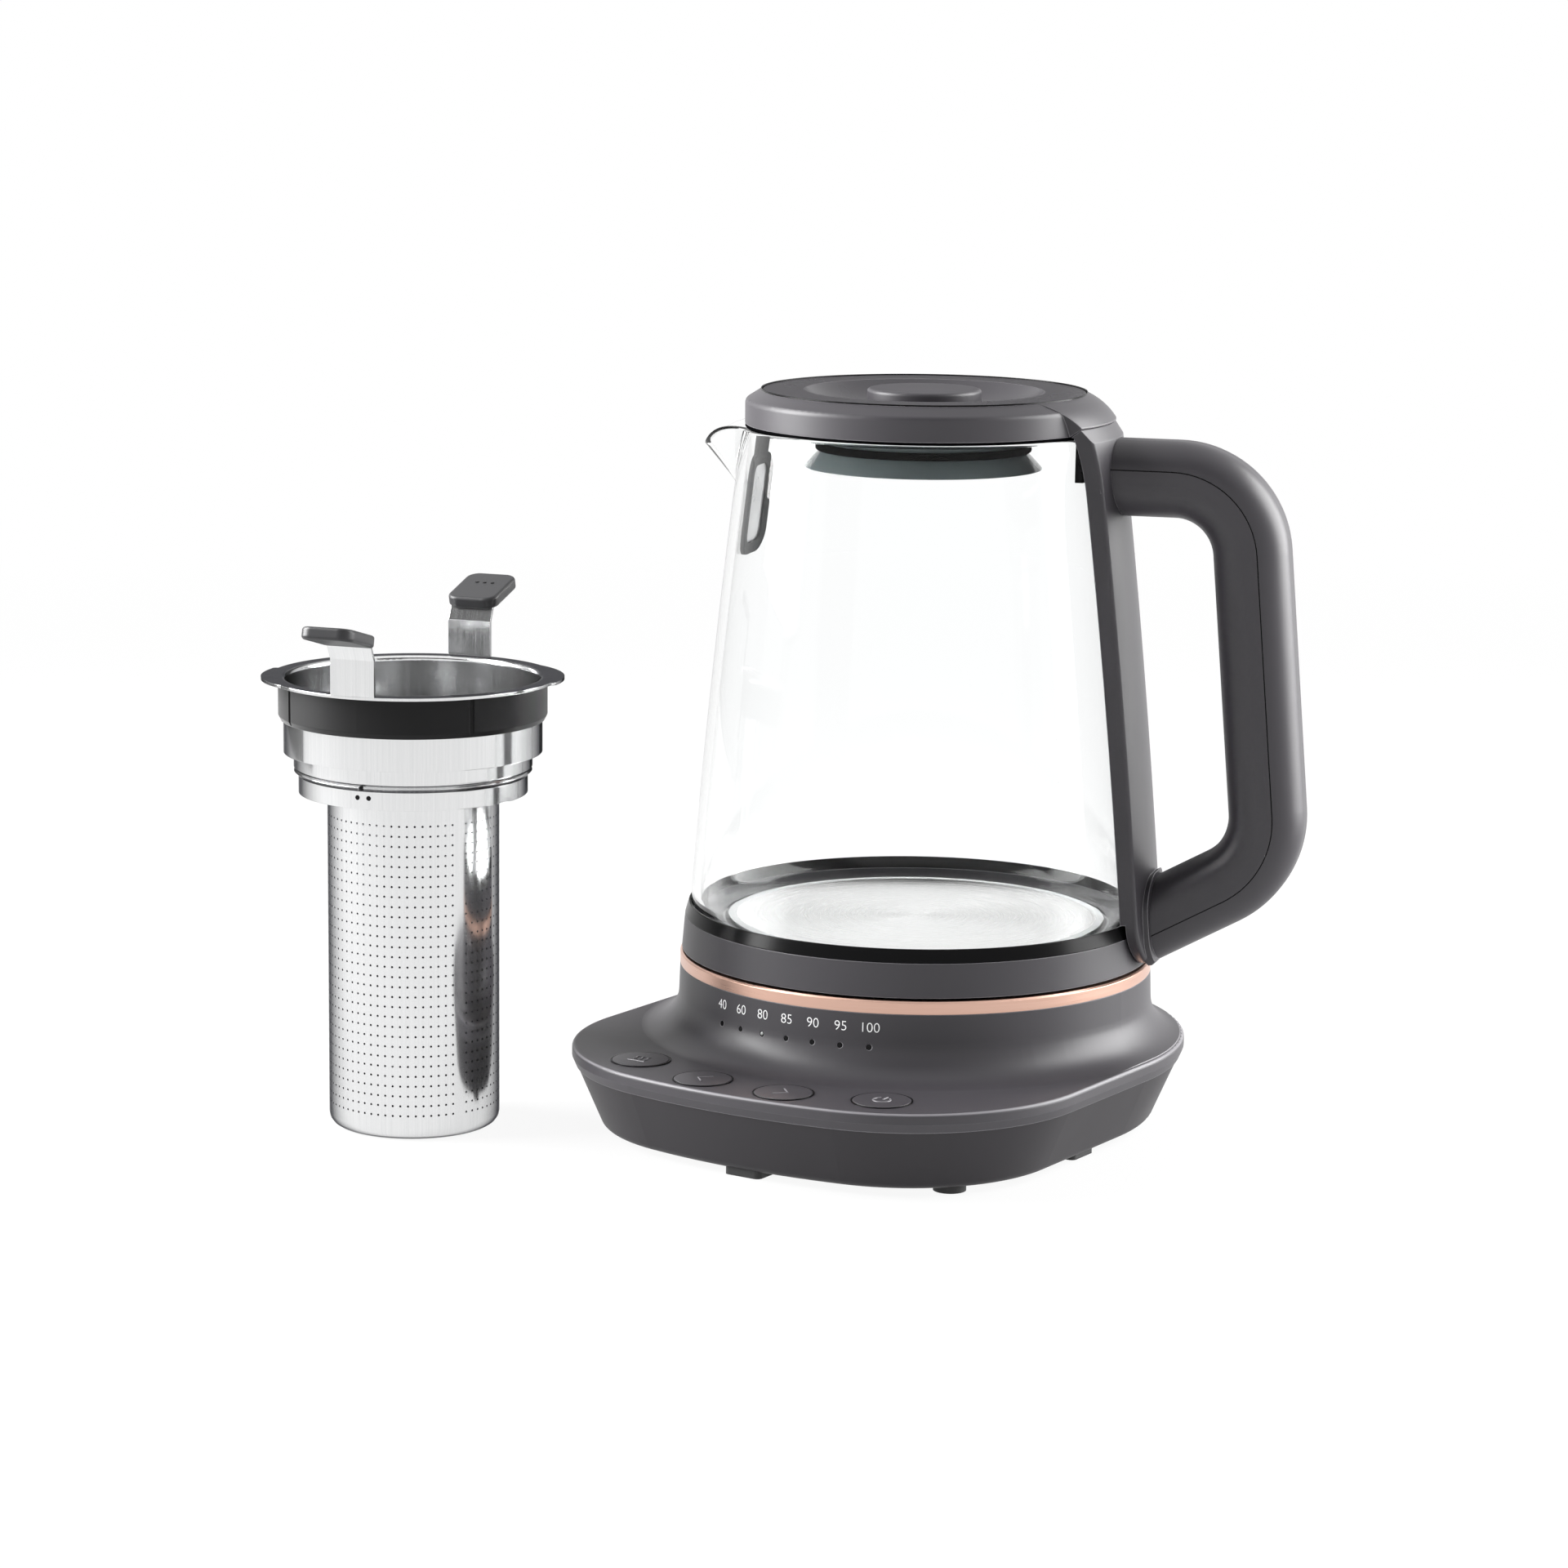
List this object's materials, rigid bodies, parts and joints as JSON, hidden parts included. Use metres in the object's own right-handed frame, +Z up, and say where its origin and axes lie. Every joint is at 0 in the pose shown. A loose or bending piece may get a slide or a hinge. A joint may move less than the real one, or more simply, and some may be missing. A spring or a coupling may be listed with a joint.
{
  "type": "glass electric kettle",
  "caption": "Glass electric tea kettle with a drawn pour lip and a loop handle, turning on a push-button power base, with its perforated steel tea infuser beside it.",
  "frame": {"origin": "on the table under the jug's axis, at the level of the feet's undersides", "axes": "+Z up along the jug's axis, -Y towards the row of buttons, +X to the right seen from the buttons"},
  "size_m": [0.312, 0.2764, 0.2532],
  "materials": {
    "grey_plastic": "soft satin",
    "lower_shell": "satin",
    "black_plastic": "satin",
    "rose_gold": "satin anodised",
    "glass": "clear",
    "clear_silicone": "translucent",
    "steel": "bright",
    "aluminium": "plain",
    "contacts": "bright",
    "rubber": "matt",
    "light_pipe": "clear moulded",
    "circuit_board": "lacquered"
  },
  "bodies": {
    "base": {"base_bottom_shell": "lower_shell", "base_top_shell": "grey_plastic", "base_feet": "rubber", "base_screws": "steel", "control_board": "circuit_board", "button_switches": "black_plastic", "light_pipe": "light_pipe", "indicator_board": "circuit_board", "power_board": "circuit_board", "relay": "black_plastic", "capacitor": "black_plastic", "cord_inlet": "rubber", "trim_ring": "rose_gold", "base_connector": "black_plastic", "base_contacts": "contacts"},
    "keep_warm_button": {"keep_warm_button": "grey_plastic"},
    "cooler_button": {"cooler_button": "grey_plastic"},
    "hotter_button": {"hotter_button": "grey_plastic"},
    "power_button": {"power_button": "grey_plastic"},
    "jug_lift": {"jug_connector": "black_plastic"},
    "jug": {"glass_jug": "glass", "plate_gasket": "clear_silicone", "heating_plate": "steel", "heat_spreader": "aluminium", "heating_element": "steel", "temperature_sensor": "contacts", "thermostat": "black_plastic", "jug_collar": "grey_plastic", "glass_band": "black_plastic", "jug_bottom_cover": "black_plastic", "mouth_collar": "grey_plastic", "mouth_gasket": "clear_silicone", "handle_spine": "grey_plastic", "handle_outer": "grey_plastic", "handle_inner": "grey_plastic", "handle_clamp": "black_plastic", "filter_frame": "black_plastic", "filter_mesh": "steel"},
    "lid": {"lid_cover": "grey_plastic", "lid_knob": "grey_plastic", "lid_plug": "lower_shell", "lid_seal": "rubber", "lid_skirt": "lower_shell"},
    "infuser": {"infuser_basket": "steel", "infuser_collar": "steel", "infuser_sleeve": "rubber", "strap_front": "steel", "strap_rear": "steel", "grip_front": "black_plastic", "grip_rear": "black_plastic"}
  },
  "joints": [
    {"name": "keep_warm_press", "type": "slide", "parent": "base", "child": "keep_warm_button", "axis": [0, 0, -1], "range_m": [0, 0.0008], "stiffness_N_per_m": 400},
    {"name": "cooler_press", "type": "slide", "parent": "base", "child": "cooler_button", "axis": [0, 0, -1], "range_m": [0, 0.0008], "stiffness_N_per_m": 400},
    {"name": "hotter_press", "type": "slide", "parent": "base", "child": "hotter_button", "axis": [0, 0, -1], "range_m": [0, 0.0008], "stiffness_N_per_m": 400},
    {"name": "power_press", "type": "slide", "parent": "base", "child": "power_button", "axis": [0, 0, -1], "range_m": [0, 0.0008], "stiffness_N_per_m": 400},
    {"name": "jug_lift_off", "type": "slide", "parent": "base", "child": "jug_lift", "axis": [0, 0, 1], "range_m": [0, 0.06]},
    {"name": "jug_swivel", "type": "hinge", "parent": "jug_lift", "child": "jug", "pos_m": [0, 0, 0], "axis": [0, 0, 1], "range_deg": [-130, 170]},
    {"name": "lid_lift_off", "type": "slide", "parent": "jug", "child": "lid", "axis": [0, 0, 1], "range_m": [0, 0.06]},
    {"name": "infuser_lift_off", "type": "slide", "parent": "base", "child": "infuser", "axis": [0, 0, 1], "range_m": [0, 0.06]}
  ]
}
